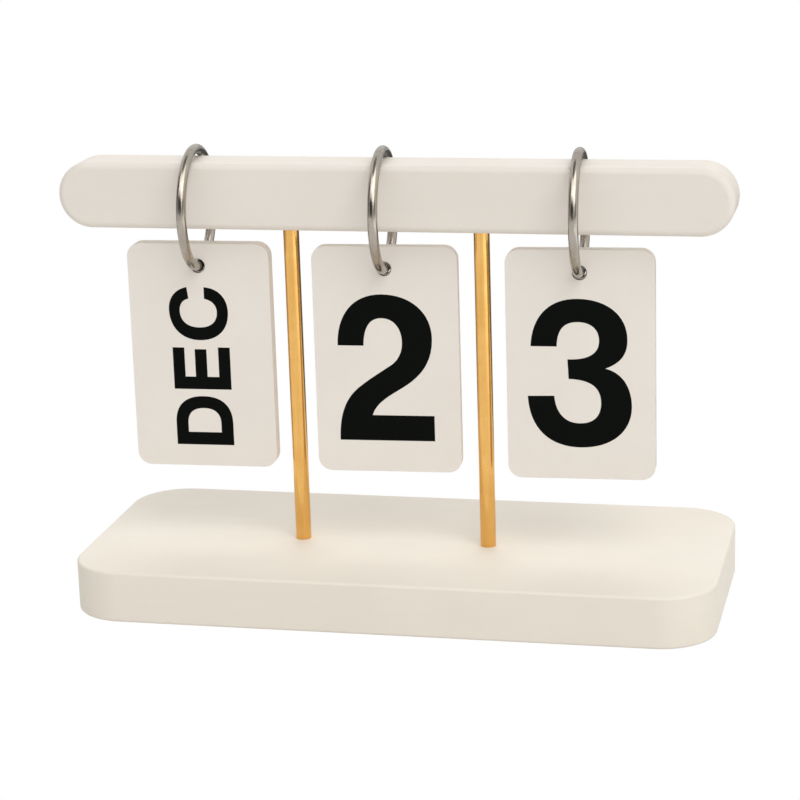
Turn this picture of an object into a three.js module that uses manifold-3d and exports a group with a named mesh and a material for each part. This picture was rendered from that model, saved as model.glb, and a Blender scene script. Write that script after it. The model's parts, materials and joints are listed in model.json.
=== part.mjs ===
// Perpetual desk calendar: a slab, two posts and a crossbar, with three packs of cards on hinged rings.
// Millimetres, +Z up, +X to the viewer's right, -Y towards the viewer.
// The origin is on the surface that the calendar stands on, under the middle of the crossbar's length.

import * as THREE from "three";
import { mergeVertices } from "three/addons/utils/BufferGeometryUtils.js";
import Module from "manifold-3d";

const wasm = await Module();
wasm.setup();

// Base slab
const slab_width = 223;
const slab_depth = 98;
const slab_height = 18;
const slab_corner_radius = 19;
const slab_edge_radius = 0.8;
const slab_shift_x = 1.5;

// Foot pads, let into the underside of the slab
const pad_diameter = 12;
const pad_thickness = 1.6;
const pad_recess_depth = 0.8;
const pad_inset = 22;

// Posts
const post_diameter = 5.4;
const post_clear_height = 112.2;
const post_line_y = -3;
const post_socket_depth = 7;
const post_chamfer = 0.4;

// Screws that hold the posts from below
const screw_shank_diameter = 3;
const screw_length = 16;
const screw_head_diameter = 5.6;
const screw_head_height = 2.2;
const screw_drive_width = 2.6;
const screw_drive_depth = 1.3;
const washer_diameter = 7;
const washer_thickness = 0.6;
const counterbore_depth = 4;
const screw_tip_room = 1.5;

// Crossbar
const bar_length = 233;
const bar_height = 23;
const bar_depth = 18;
const bar_edge_radius = 2.4;
const bar_socket_depth = 14;

// Hinged rings
const ring_inner_radius = 18.4;
const wire_diameter = 3.5;
const hinge_gap = 0.2;
const hinge_clearance = 0.5;
const eye_swell = 0.2;
const pin_diameter = 1.2;
const pin_length = 2.9;
const pin_play = 0.15;
const pin_head_diameter = 1.9;
const pin_head_height = 0.4;
const snap_gap = 0.1;
const peg_diameter = 1.6;
const peg_length = 2;

// Cards
const card_width = 50.5;
const card_height = 80;
const card_thickness = 0.8;
const card_corner_radius = 4.8;
const card_edge_radius = 0.2;
const card_gap = 0.1;
const card_hole_play = 1.5;
const card_hole_drop = 8.4;

// The middle pack's place along the crossbar, and the room between the cards and the posts
const tens_x = -3.4;
const tens_left_gap = 4.65;
const tens_right_gap = 5.95;
const outer_gap = 5.45;

// How far each pack is turned about the vertical, and how many cards it has
const month_turn_deg = 2.1;
const tens_turn_deg = 3;
const units_turn_deg = 2.8;
const month_cards = 6;
const tens_cards = 4;
const units_cards = 5;

// Clearances, and how far every cut runs past the face that it opens
const seat_gap = 0.1;
const fit_clearance = 0.3;
const overrun = 1;

// Facets on round forms
const slab_corner_facets = 12;
const slab_edge_facets = 3;
const bar_corner_facets = 12;
const bar_edge_facets = 4;
const card_corner_facets = 4;
const round_facets = 24;
const hole_facets = 16;
const drive_facets = 6;
const wire_facets = 14;
const wire_steps = 24;

// Places along the crossbar
const half_card = card_width / 2;
const half_post = post_diameter / 2;
const post_left_x = tens_x - half_card - tens_left_gap - half_post;
const post_right_x = tens_x + half_card + tens_right_gap + half_post;
const month_x = post_left_x - half_post - outer_gap - half_card;
const units_x = post_right_x + half_post + outer_gap + half_card;

// Heights and radii that follow from the driving dimensions
const slab_bottom_z = pad_thickness + seat_gap - pad_recess_depth;
const slab_top_z = slab_bottom_z + slab_height;
const bar_bottom_z = slab_top_z + post_clear_height;
const bar_top_z = bar_bottom_z + bar_height;
const bar_centre_z = bar_bottom_z + bar_height / 2;
const wire_radius = wire_diameter / 2;
const ring_radius = ring_inner_radius + wire_radius;

// A ring hangs from the two rounded top edges of the crossbar, so its centre follows from them.
const bar_half_flat = bar_depth / 2 - bar_edge_radius;
const ring_reach = ring_inner_radius - bar_edge_radius - seat_gap;
const ring_centre_z = bar_top_z - bar_edge_radius - Math.sqrt(ring_reach ** 2 - bar_half_flat ** 2);

// The ring's hinge is just behind the thickest pack, and its snap is straight across, above the crossbar.
const card_pitch = card_thickness + card_gap;
const half_pack = (Math.max(month_cards, tens_cards, units_cards) * card_pitch - card_gap) / 2;
const eye_diameter = wire_diameter + eye_swell;
const snap_angle = Math.asin((half_pack + hinge_clearance + eye_diameter / 2) / ring_radius);
const hinge_angle = snap_angle + Math.PI;
const snap_half_angle = snap_gap / 2 / ring_radius;

// The cards hang with their holes on the lowest part of the wire, measured from the ring's centre.
const card_hole_diameter = wire_diameter + card_hole_play;
const wire_rise = ring_inner_radius - Math.sqrt(ring_inner_radius ** 2 - half_pack ** 2);
const card_hole_z = wire_rise + seat_gap - ring_inner_radius - card_hole_diameter / 2;
const card_centre_z = card_hole_z + card_hole_drop - card_height / 2;

const finishes = {
  paint: { color: 0xe9e2d4, roughness: 0.62, metalness: 0 },
  card: { color: 0xded7ca, roughness: 0.55, metalness: 0 },
  brass: { color: 0xd9a441, roughness: 0.18, metalness: 1 },
  nickel: { color: 0x9c958b, roughness: 0.24, metalness: 1 },
  zinc: { color: 0xb5b7b9, roughness: 0.38, metalness: 1 },
  rubber: { color: 0x6f6b64, roughness: 0.9, metalness: 0 },
};

// A closed geometry as a solid for joins and cuts
function solid(geometry) {
  const bare = geometry.clone();
  bare.deleteAttribute("normal");
  bare.deleteAttribute("uv");
  const merged = mergeVertices(bare);
  return new wasm.Manifold(
    new wasm.Mesh({
      numProp: 3,
      vertProperties: merged.attributes.position.array,
      triVerts: new Uint32Array(merged.index.array),
    }),
  );
}

function cut(body, ...tools) {
  return tools.reduce((rest, tool) => rest.subtract(solid(tool)), body);
}

function join(body, ...others) {
  return others.reduce((whole, other) => whole.add(solid(other)), body);
}

// A solid as one named mesh with a material of its own
function piece(name, body, finish) {
  const { vertProperties, triVerts } = body.getMesh();
  const geometry = new THREE.BufferGeometry()
    .setAttribute("position", new THREE.BufferAttribute(vertProperties, 3))
    .setIndex(new THREE.BufferAttribute(triVerts, 1))
    .toNonIndexed();
  geometry.computeVertexNormals();
  const mesh = new THREE.Mesh(geometry, new THREE.MeshStandardMaterial(finishes[finish]));
  mesh.name = name;
  return mesh;
}

// A rectangle with round corners, or a strip with half-round ends where the radius is half its height
function roundedRectangle(width, height, radius) {
  const across = width / 2 - radius;
  const up = height / 2 - radius;
  const quarter = Math.PI / 2;
  const shape = new THREE.Shape();
  shape.absarc(across, -up, radius, -quarter, 0);
  shape.absarc(across, up, radius, 0, quarter);
  shape.absarc(-across, up, radius, quarter, 2 * quarter);
  shape.absarc(-across, -up, radius, 2 * quarter, 3 * quarter);
  return shape;
}

// A plate with rounded edges whose middle plane is at z = 0
function plate(outline, thickness, edge_radius, corner_facets, edge_facets) {
  return new THREE.ExtrudeGeometry(outline, {
    depth: thickness - 2 * edge_radius,
    bevelThickness: edge_radius,
    bevelSize: edge_radius,
    bevelOffset: -edge_radius,
    bevelSegments: edge_facets,
    curveSegments: corner_facets / 2,
  }).translate(0, 0, edge_radius - thickness / 2);
}

// An upright cylinder from one height to another
function upright(diameter, from, to, facets = round_facets) {
  return new THREE.CylinderGeometry(diameter / 2, diameter / 2, to - from, facets)
    .rotateX(Math.PI / 2)
    .translate(0, 0, (from + to) / 2);
}

// Base slab: post sockets from above, screw holes and pad recesses from below
const post_places = { left: post_left_x, right: post_right_x };
const socket_floor_z = slab_top_z - post_socket_depth;
const counterbore_top_z = slab_bottom_z + counterbore_depth;
const socket_diameter = post_diameter + 2 * fit_clearance;
const screw_hole_diameter = screw_shank_diameter + 2 * fit_clearance;
const counterbore_diameter = washer_diameter + 2 * fit_clearance;
const pad_recess_diameter = pad_diameter + 2 * fit_clearance;

const pad_reach_x = slab_width / 2 - pad_inset;
const pad_reach_y = slab_depth / 2 - pad_inset;
const pad_places = {
  front_left: [slab_shift_x - pad_reach_x, -pad_reach_y],
  front_right: [slab_shift_x + pad_reach_x, -pad_reach_y],
  rear_left: [slab_shift_x - pad_reach_x, pad_reach_y],
  rear_right: [slab_shift_x + pad_reach_x, pad_reach_y],
};

function postHoles(x) {
  return [
    upright(socket_diameter, socket_floor_z, slab_top_z + overrun),
    upright(screw_hole_diameter, counterbore_top_z - overrun, socket_floor_z + overrun, hole_facets),
    upright(counterbore_diameter, slab_bottom_z - overrun, counterbore_top_z),
  ].map((hole) => hole.translate(x, post_line_y, 0));
}

function padRecess([x, y]) {
  const top_z = slab_bottom_z + pad_recess_depth;
  return upright(pad_recess_diameter, slab_bottom_z - overrun, top_z).translate(x, y, 0);
}

function baseSlab() {
  const outline = roundedRectangle(slab_width, slab_depth, slab_corner_radius);
  const slab = plate(outline, slab_height, slab_edge_radius, slab_corner_facets, slab_edge_facets);
  slab.translate(slab_shift_x, 0, slab_bottom_z + slab_height / 2);
  const holes = Object.values(post_places).flatMap(postHoles);
  const recesses = Object.values(pad_places).map(padRecess);
  return piece("base_slab", cut(solid(slab), ...holes, ...recesses), "paint");
}

function footPad(place) {
  const pad = piece(`foot_pad_${place}`, solid(upright(pad_diameter, 0, pad_thickness)), "rubber");
  const [x, y] = pad_places[place];
  pad.position.set(x, y, 0);
  return pad;
}

// Screws and washers, from below
const washer_bottom_z = counterbore_top_z - seat_gap - washer_thickness;
const screw_seat_z = washer_bottom_z - seat_gap;

function postWasher(side) {
  const disc = solid(upright(washer_diameter, 0, washer_thickness));
  const hole = upright(screw_hole_diameter, -overrun, washer_thickness + overrun, hole_facets);
  const mesh = piece(`post_washer_${side}`, cut(disc, hole), "zinc");
  mesh.position.set(post_places[side], post_line_y, washer_bottom_z);
  return mesh;
}

// A screw's head hangs below its seat with a six-sided socket, and its shank stands above.
function postScrew(side) {
  const head = solid(upright(screw_head_diameter, -screw_head_height, 0));
  const shank = upright(screw_shank_diameter, -screw_head_height / 2, screw_length, hole_facets);
  const drive_diameter = screw_drive_width / Math.cos(Math.PI / drive_facets);
  const drive_top = screw_drive_depth - screw_head_height;
  const drive = upright(drive_diameter, -screw_head_height - overrun, drive_top, drive_facets);
  const mesh = piece(`post_screw_${side}`, cut(join(head, shank), drive), "zinc");
  mesh.position.set(post_places[side], post_line_y, screw_seat_z);
  return mesh;
}

// Posts: round bar, chamfered at both ends and bored at the foot for the screw
const post_foot_z = socket_floor_z + seat_gap;
const post_length = bar_bottom_z + bar_socket_depth - seat_gap - post_foot_z;
const post_bore_depth = screw_seat_z + screw_length + screw_tip_room - post_foot_z;

function post(side) {
  const end_radius = half_post - post_chamfer;
  const profile = [
    new THREE.Vector2(0, 0),
    new THREE.Vector2(end_radius, 0),
    new THREE.Vector2(half_post, post_chamfer),
    new THREE.Vector2(half_post, post_length - post_chamfer),
    new THREE.Vector2(end_radius, post_length),
    new THREE.Vector2(0, post_length),
  ];
  const rod = new THREE.LatheGeometry(profile, round_facets).rotateX(Math.PI / 2);
  const bore = upright(screw_hole_diameter, -overrun, post_bore_depth, hole_facets);
  const mesh = piece(`post_${side}`, cut(solid(rod), bore), "brass");
  mesh.position.set(post_places[side], post_line_y, post_foot_z);
  return mesh;
}

// Crossbar: a strip with half-round ends and rounded edges, with a socket from below for each post
function crossbar() {
  const outline = roundedRectangle(bar_length, bar_height, bar_height / 2);
  const bar = plate(outline, bar_depth, bar_edge_radius, bar_corner_facets, bar_edge_facets)
    .rotateX(Math.PI / 2)
    .translate(0, post_line_y, bar_centre_z);
  const socket_top_z = bar_bottom_z + bar_socket_depth;
  const sockets = Object.values(post_places).map((x) =>
    upright(socket_diameter, bar_bottom_z - overrun, socket_top_z).translate(x, post_line_y, 0),
  );
  return piece("crossbar", cut(solid(bar), ...sockets), "paint");
}

// Rings: angles start at the top and grow over the front, down and round behind.
function onRing(angle) {
  return new THREE.Vector3(0, -Math.sin(angle), Math.cos(angle)).multiplyScalar(ring_radius);
}

class RingArc extends THREE.Curve {
  constructor(from, to) {
    super();
    this.from = from;
    this.to = to;
  }

  getPoint(share, target = new THREE.Vector3()) {
    return target.copy(onRing(this.from + share * (this.to - this.from)));
  }
}

// Round wire bent along a part of the ring
function wire(from, to) {
  const section = new THREE.Shape().absarc(0, 0, wire_radius, 0, 2 * Math.PI);
  return new THREE.ExtrudeGeometry(section, {
    steps: wire_steps,
    curveSegments: wire_facets / 2,
    extrudePath: new RingArc(from, to),
  });
}

// A disc about the hinge's axis between two places across the ring, given in either order
function hingeDisc(diameter, from, to) {
  const hinge = onRing(hinge_angle);
  return new THREE.CylinderGeometry(diameter / 2, diameter / 2, Math.abs(to - from), hole_facets)
    .rotateZ(Math.PI / 2)
    .translate((from + to) / 2, hinge.y, hinge.z);
}

// Moves a form from the origin to a place on the ring, with its z axis forward along the wire.
function onWire(form, angle) {
  const forward = onRing(angle + Math.PI / 2).normalize();
  const turn = new THREE.Quaternion().setFromUnitVectors(new THREE.Vector3(0, 0, 1), forward);
  return form.applyMatrix4(new THREE.Matrix4().makeRotationFromQuaternion(turn).setPosition(onRing(angle)));
}

// The hinge's eyes are as round as the wire, and the pin's heads are let into their outer sides.
const eye_angle = (wire_radius + overrun) / ring_radius;
const eye_room_diameter = eye_diameter + 2 * fit_clearance;
const pin_seat = pin_length / 2 - pin_head_height - seat_gap;

// What is cut off round an eye from a wire that runs past the hinge, forward or backward
function pastHinge(forward) {
  const reach = wire_radius + 2 * overrun;
  const [from, to] = forward ? [0, reach] : [-reach, 0];
  const tail = onWire(upright(2 * wire_diameter, from, to, hole_facets), hinge_angle);
  return solid(tail).subtract(solid(hingeDisc(eye_diameter, -wire_diameter, wire_diameter)));
}

// Half a ring whose wire runs past the hinge: its eye is on one side, -1 for the left and 1 for the right.
function ringHalf(from, to, side) {
  const inner = (side * hinge_gap) / 2;
  const beyond = side * (wire_radius + overrun);
  const rounded = solid(wire(from, to)).subtract(pastHinge(side < 0));
  const room = hingeDisc(eye_room_diameter, inner, -beyond);
  const hole = hingeDisc(pin_diameter + 2 * pin_play, -beyond, beyond);
  const head_room = hingeDisc(pin_head_diameter + 2 * pin_play, side * pin_seat, beyond);
  return cut(rounded, room, hole, head_room);
}

// A rod along the wire where the halves meet, for the snap's peg and its socket
function snapRod(diameter, from, to) {
  return onWire(upright(diameter, from, to, hole_facets), snap_angle);
}

function ringFrontHalf(pack) {
  const half = ringHalf(snap_angle + snap_half_angle, hinge_angle + eye_angle, -1);
  const peg = snapRod(peg_diameter, -peg_length, peg_length);
  return piece(`${pack}_ring_front_half`, join(half, peg), "nickel");
}

function ringRearHalf(pack) {
  const half = ringHalf(hinge_angle - eye_angle, snap_angle + 2 * Math.PI - snap_half_angle, 1);
  const socket = snapRod(peg_diameter + 2 * fit_clearance, -peg_length - fit_clearance, overrun);
  return piece(`${pack}_ring_rear_half`, cut(half, socket), "nickel");
}

function ringHingePin(pack) {
  const end = pin_length / 2;
  const neck = end - pin_head_height;
  const shank = solid(hingeDisc(pin_diameter, -end, end));
  const heads = [hingeDisc(pin_head_diameter, neck, end), hingeDisc(pin_head_diameter, -neck, -end)];
  return piece(`${pack}_ring_hinge_pin`, join(shank, ...heads), "nickel");
}

// Cards: thin plates with round corners and one hole, numbered from the front of the pack
function card(pack, number, count) {
  const outline = roundedRectangle(card_width, card_height, card_corner_radius);
  const blank = plate(outline, card_thickness, card_edge_radius, card_corner_facets, 1);
  const hole = upright(card_hole_diameter, -card_thickness, card_thickness, hole_facets);
  hole.translate(0, card_height / 2 - card_hole_drop, 0);
  const mesh = piece(`${pack}_card_${number}`, cut(solid(blank), hole), "card");
  mesh.rotation.x = Math.PI / 2;
  mesh.position.set(0, (number - (count + 1) / 2) * card_pitch, card_centre_z);
  return mesh;
}

// A pack is one ring with its cards, hung over the crossbar.
function hangingPack(pack, x, turn_deg, count) {
  const group = new THREE.Group();
  group.position.set(x, post_line_y, ring_centre_z);
  group.rotation.z = THREE.MathUtils.degToRad(turn_deg);
  group.add(ringFrontHalf(pack), ringRearHalf(pack), ringHingePin(pack));
  for (let number = 1; number <= count; number += 1) group.add(card(pack, number, count));
  return group;
}

const calendar = new THREE.Group();
calendar.add(baseSlab(), crossbar());
for (const place of Object.keys(pad_places)) calendar.add(footPad(place));
for (const side of Object.keys(post_places)) calendar.add(post(side), postWasher(side), postScrew(side));
calendar.add(
  hangingPack("month", month_x, month_turn_deg, month_cards),
  hangingPack("tens", tens_x, tens_turn_deg, tens_cards),
  hangingPack("units", units_x, units_turn_deg, units_cards),
);

export default calendar;
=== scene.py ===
import json
import logging
import math
from dataclasses import dataclass
from enum import Enum
from typing import NamedTuple

import bmesh
import bpy
from mathutils import Matrix, Vector


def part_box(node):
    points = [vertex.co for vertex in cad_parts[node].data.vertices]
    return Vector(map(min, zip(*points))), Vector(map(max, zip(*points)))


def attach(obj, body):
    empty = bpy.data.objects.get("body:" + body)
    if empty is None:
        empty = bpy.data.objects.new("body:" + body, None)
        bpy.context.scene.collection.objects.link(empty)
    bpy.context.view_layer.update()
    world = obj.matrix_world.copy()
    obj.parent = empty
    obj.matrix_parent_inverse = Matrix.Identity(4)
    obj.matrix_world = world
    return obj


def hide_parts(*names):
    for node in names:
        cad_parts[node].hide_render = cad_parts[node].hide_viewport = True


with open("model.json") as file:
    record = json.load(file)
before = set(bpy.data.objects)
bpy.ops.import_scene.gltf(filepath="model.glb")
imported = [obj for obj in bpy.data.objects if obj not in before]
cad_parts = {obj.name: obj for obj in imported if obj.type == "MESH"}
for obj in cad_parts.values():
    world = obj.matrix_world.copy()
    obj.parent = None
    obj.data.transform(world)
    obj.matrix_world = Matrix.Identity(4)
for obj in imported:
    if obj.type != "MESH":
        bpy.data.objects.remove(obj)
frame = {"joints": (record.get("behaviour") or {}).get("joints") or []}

LOG = logging.getLogger("desk_calendar")
MM = 0.001
QUARTER_TURN = math.radians(90)
WHITE = (1.0, 1.0, 1.0, 1.0)
SIDES = ("left", "right")
CORNERS = ("front_left", "front_right", "rear_left", "rear_right")

Solid = bmesh.types.BMesh
Colour = tuple[float, float, float, float]
Triple = tuple[float, float, float]
Range = tuple[float, float]

# How far a cutting solid reaches past the face that it cuts
OVERRUN = 1.0 * MM

# Facets of round things: large holes, discs, narrow bores, and the rounds at their ends
SOCKET_FACETS = 64
DISC_FACETS = 48
BORE_FACETS = 32
RIM_FACETS = 4

# Edges that turn by more than this stay sharp
SHARP_ANGLE = math.radians(32)

# Points that are closer than this are one point
MERGE_DISTANCE = 1e-7
LEVEL_TOLERANCE = 1e-9

# A plate's face is flat when this much of its normal is along Y, and a wall when less than that is
FLAT_NORMAL = 0.99
WALL_NORMAL = 0.5


class Joining(Enum):
    """How two solids are put together."""

    CUT = "DIFFERENCE"
    JOIN = "UNION"


class Round(NamedTuple):
    """A rounded corner or rim."""

    radius: float
    facets: int


class Side(Enum):
    """A face of a card, or the side of the hinge that a ring half's eye is on."""

    FRONT = -1
    BACK = 1


# ---- shader graph ----


@dataclass(frozen=True)
class Patches:
    """Soft irregular patches: how many a metre holds, in how many layers, and how stretched."""

    scale: float
    detail: float = 3.0
    stretch: Triple = (1.0, 1.0, 1.0)
    layering: float = 0.55


class Value:
    """A shader value that is added and multiplied like a number."""

    def __init__(self, graph: "Graph", socket: bpy.types.NodeSocket | None) -> None:
        """Keeps a node's output with the graph that it is in."""
        self.graph = graph
        self.socket = socket

    def __add__(self, other: "Value | float") -> "Value":
        """The sum of both."""
        return self.graph.node("ShaderNodeMath", {0: self, 1: other}, operation="ADD")

    def __mul__(self, other: "Value | float") -> "Value":
        """The product of both."""
        return self.graph.node("ShaderNodeMath", {0: self, 1: other}, operation="MULTIPLY")

    def mixed(self, other: "Value", share: float) -> "Value":
        """A share of this value and the rest of another."""
        return self * share + other * (1.0 - share)

    def between(self, reads: Range, gives: Range = (0.0, 1.0)) -> "Value":
        """Maps a range of this value smoothly onto another range.

        Args:
            reads: the range that is read.
            gives: the range that comes out.

        Returns:
            The mapped value.
        """
        names = ("From Min", "From Max", "To Min", "To Max")
        inputs = {"Value": self, **dict(zip(names, (*reads, *gives)))}
        return self.graph.node("ShaderNodeMapRange", inputs, interpolation_type="SMOOTHSTEP")


class Graph:
    """The node tree of one material or of the world."""

    def __init__(self, tree: bpy.types.NodeTree) -> None:
        """Empties the tree and keeps it."""
        self.tree = tree
        tree.nodes.clear()

    def node(
        self, kind: str, inputs: dict | None = None, output: int | str = 0, **settings: object
    ) -> Value:
        """Makes any node of the tree.

        Args:
            kind: the node's type.
            inputs: a number, a colour or a Value for each input named.
            output: the output that is handed back.
            settings: the node's own properties.

        Returns:
            The output as a Value, or a Value of None for a node without one.
        """
        made = self.tree.nodes.new(kind)
        for name, setting in settings.items():
            setattr(made, name, setting)
        for key, given in (inputs or {}).items():
            if isinstance(given, Value):
                self.tree.links.new(given.socket, made.inputs[key])
            else:
                made.inputs[key].default_value = given
        return Value(self, made.outputs[output] if len(made.outputs) else None)

    def noise(self, patches: Patches) -> Value:
        """Patches over the piece's own coordinates.

        Args:
            patches: their size and stretch.

        Returns:
            A value about 0.5.
        """
        own = self.node("ShaderNodeTexCoord", output="Object")
        place = self.node("ShaderNodeMapping", {"Vector": own, "Scale": patches.stretch})
        inputs = {
            "Vector": place,
            "Scale": patches.scale,
            "Detail": patches.detail,
            "Roughness": patches.layering,
        }
        return self.node("ShaderNodeTexNoise", inputs)

    def blend(self, share: Value, first: Colour, second: Colour) -> Value:
        """A colour between two others.

        Args:
            share: 0 for the first and 1 for the second.
            first: the one colour.
            second: the other colour.

        Returns:
            The colour.
        """
        inputs = {0: share, 6: first, 7: second}
        return self.node("ShaderNodeMix", inputs, output=2, data_type="RGBA")

    def bump(self, height: Value, depth: float, strength: float) -> Value:
        """A surface relief.

        Args:
            height: the relief, 0 to 1.
            depth: what a height of 1 stands for, in metres.
            strength: the share of the relief that shows.

        Returns:
            The normal.
        """
        inputs = {"Height": height, "Distance": depth, "Strength": strength}
        return self.node("ShaderNodeBump", inputs, output="Normal")

    def shown(self) -> Value:
        """Where the white background shows: to the camera, in glossy surfaces, through clear ones.

        Returns:
            1 for a ray that sees the background, and 0 for one that only lights.
        """
        camera, glossy, clear = (
            self.node("ShaderNodeLightPath", output=f"Is {kind} Ray")
            for kind in ("Camera", "Glossy", "Transmission")
        )
        inputs = {0: camera + glossy, 1: clear}
        return self.node("ShaderNodeMath", inputs, operation="ADD", use_clamp=True)


def blank_material(name: str) -> tuple[bpy.types.Material, Graph]:
    """Makes a material without nodes.

    Args:
        name: its name.

    Returns:
        The material and its graph.
    """
    material = bpy.data.materials.new(name)
    material.use_nodes = True
    return material, Graph(material.node_tree)


# ---- finishes ----


@dataclass(frozen=True)
class Finish:
    """One finish of the object: plain values, and how they vary over a piece."""

    name: str
    slot: str
    colour: Colour
    shade: Colour
    roughness: float
    metallic: float = 0.0
    gloss: float = 0.5
    spread: Range = (0.0, 0.0)
    tone_range: Range = (0.3, 0.7)
    rough_range: Range = (0.3, 0.7)
    relief_depth: float = 0.0
    relief_strength: float = 0.5

    def vary(self, graph: Graph) -> dict[str, Value]:
        """Nothing varies, unless a finish says here what does, in its material's graph."""
        return {}

    def over(
        self, graph: Graph, tone: Value, rough: Value | None = None, relief: Value | None = None
    ) -> dict[str, Value]:
        """What varies over a piece with some patterns.

        Args:
            graph: the material's graph.
            tone: the pattern of the colour, from the shade to the full colour.
            rough: the pattern of the roughness, from one end of its spread to the other.
            relief: the pattern of the relief.

        Returns:
            A Value for each shader input that varies.
        """
        colour = graph.blend(tone.between(self.tone_range), self.shade, self.colour)
        values = {"Base Color": colour}
        if rough:
            ends = (self.roughness + self.spread[0], self.roughness + self.spread[1])
            values["Roughness"] = rough.between(self.rough_range, ends)
        if relief:
            values["Normal"] = graph.bump(relief, self.relief_depth, self.relief_strength)
        return values

    def build(self) -> bpy.types.Material:
        """Makes the material.

        Returns:
            The material.
        """
        material, graph = blank_material(self.name)
        material.diffuse_color = self.colour
        inputs = {
            "Base Color": self.colour,
            "Roughness": self.roughness,
            "Metallic": self.metallic,
            "Specular IOR Level": self.gloss,
        }
        inputs.update(self.vary(graph))
        surface = graph.node("ShaderNodeBsdfPrincipled", inputs)
        graph.node("ShaderNodeOutputMaterial", {"Surface": surface})
        return material


@dataclass(frozen=True)
class Lacquer(Finish):
    """Matte lacquer over wood: faint grain along the piece and soft cloudy patches."""

    spread: Range = (-0.06, 0.06)
    tone_range: Range = (0.3, 0.75)
    rough_range: Range = (0.2, 0.8)
    relief_depth: float = 0.05 * MM
    relief_strength: float = 0.55
    clouds: Patches = Patches(28.0, 2.0)
    grain: Patches = Patches(260.0, 5.0, (0.05, 1.0, 1.0))
    peel: Patches = Patches(1500.0, 2.0)
    cloud_share: float = 0.7
    grain_share: float = 0.6

    def vary(self, graph: Graph) -> dict[str, Value]:
        """The colour varies in clouds and grain, and the rest in orange peel."""
        clouds, grain, peel = map(graph.noise, (self.clouds, self.grain, self.peel))
        return self.over(
            graph, clouds.mixed(grain, self.cloud_share), peel, grain.mixed(peel, self.grain_share)
        )


@dataclass(frozen=True)
class CardSheet(Finish):
    """Satin plastic sheet with a pearly, slightly mottled face."""

    spread: Range = (-0.05, 0.07)
    relief_depth: float = 0.015 * MM
    clouds: Patches = Patches(60.0)
    speckle: Patches = Patches(2600.0, 2.0)
    cloud_share: float = 0.6

    def vary(self, graph: Graph) -> dict[str, Value]:
        """The colour and the roughness vary in clouds, and the relief is speckled."""
        clouds, speckle = map(graph.noise, (self.clouds, self.speckle))
        return self.over(graph, clouds.mixed(speckle, self.cloud_share), clouds, speckle)


@dataclass(frozen=True)
class PrintAndPaintedShade(Finish):
    """Dark print with a faint tooth. The same dark finish is the painted shade inside the card
    holes.
    """

    spread: Range = (-0.05, 0.08)
    tooth: Patches = Patches(2200.0, 2.0)

    def vary(self, graph: Graph) -> dict[str, Value]:
        """The colour and the roughness vary with the tooth."""
        tooth = graph.noise(self.tooth)
        return self.over(graph, tooth, tooth)


@dataclass(frozen=True)
class DrawnMetal(Finish):
    """Polished metal with fine lines along the draw and soft smudges."""

    spread: Range = (0.06, -0.04)
    tone_range: Range = (0.35, 0.7)
    rough_range: Range = (0.35, 0.65)
    relief_depth: float = 0.004 * MM
    relief_strength: float = 0.35
    drawn: Patches = Patches(2600.0, 3.0, (1.0, 1.0, 0.02))
    smudge: Patches = Patches(110.0, 4.0)
    smudge_share: float = 0.65
    drawn_share: float = 0.5

    def vary(self, graph: Graph) -> dict[str, Value]:
        """The colour and the roughness vary with smudges and lines, the relief with lines."""
        drawn, smudge = map(graph.noise, (self.drawn, self.smudge))
        return self.over(
            graph,
            smudge.mixed(drawn, self.smudge_share),
            drawn.mixed(smudge, self.drawn_share),
            drawn,
        )


@dataclass(frozen=True)
class Rubber(Finish):
    """Soft rubber with a fine moulded grain."""

    relief_depth: float = 0.05 * MM
    relief_strength: float = 0.6
    grain: Patches = Patches(1800.0, 2.0)

    def vary(self, graph: Graph) -> dict[str, Value]:
        """The colour and the relief vary with the grain."""
        grain = graph.noise(self.grain)
        return self.over(graph, grain, relief=grain)


LACQUER = Lacquer(
    "cream_lacquer", "cream_paint",
    (0.82, 0.77, 0.686, 1), (0.79, 0.74, 0.656, 1), 0.52, gloss=0.2,
)
# The slab's cream paint made a little darker and cooler for the crossbar: painted shade that evens
# the bar's light with the slab's
BAR_LACQUER_PAINTED_SHADE = Lacquer(
    "cream_lacquer_bar", "cream_paint",
    (0.795, 0.747, 0.688, 1), (0.767, 0.718, 0.658, 1), 0.52, gloss=0.2,
)
SHEET = CardSheet(
    "card_sheet", "card_plastic",
    (0.815, 0.768, 0.712, 1), (0.79, 0.743, 0.687, 1), 0.46,
)
INK = PrintAndPaintedShade(
    "black_print", "card_plastic",
    (0.0020, 0.0030, 0.0022, 1), (0.0012, 0.0020, 0.0014, 1), 0.6, gloss=0.06,
)
# Near-black painted shade for the inside of the card holes, not a colour of the card
HOLE_PAINTED_SHADE = PrintAndPaintedShade(
    "hole_edge", "card_plastic",
    (0.050, 0.045, 0.038, 1), (0.035, 0.031, 0.027, 1), 0.7, gloss=0.1,
)
BRASS = DrawnMetal(
    "polished_brass", "polished_brass",
    (0.86, 0.50, 0.155, 1), (0.80, 0.44, 0.12, 1), 0.2, 1.0,
)
NICKEL = DrawnMetal(
    "nickel_wire", "nickel_wire",
    (0.445, 0.405, 0.35, 1), (0.375, 0.335, 0.285, 1), 0.22, 1.0,
    drawn=Patches(1400.0, 3.0, (1.0, 0.3, 0.3)),
)
ZINC = DrawnMetal(
    "zinc_steel", "zinc_steel",
    (0.55, 0.56, 0.57, 1), (0.45, 0.46, 0.47, 1), 0.34, 1.0,
    drawn=Patches(2600.0),
)
PAD = Rubber(
    "pad_rubber", "pad_rubber",
    (0.16, 0.15, 0.13, 1), (0.12, 0.11, 0.10, 1), 0.85,
)


# ---- solids ----


def linked(name: str, data: bpy.types.ID) -> bpy.types.Object:
    """Makes an object at the scene's origin.

    Args:
        name: the object's name.
        data: its mesh, light or camera.

    Returns:
        The object.
    """
    made = bpy.data.objects.new(name, data)
    bpy.context.scene.collection.objects.link(made)
    return made


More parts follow.
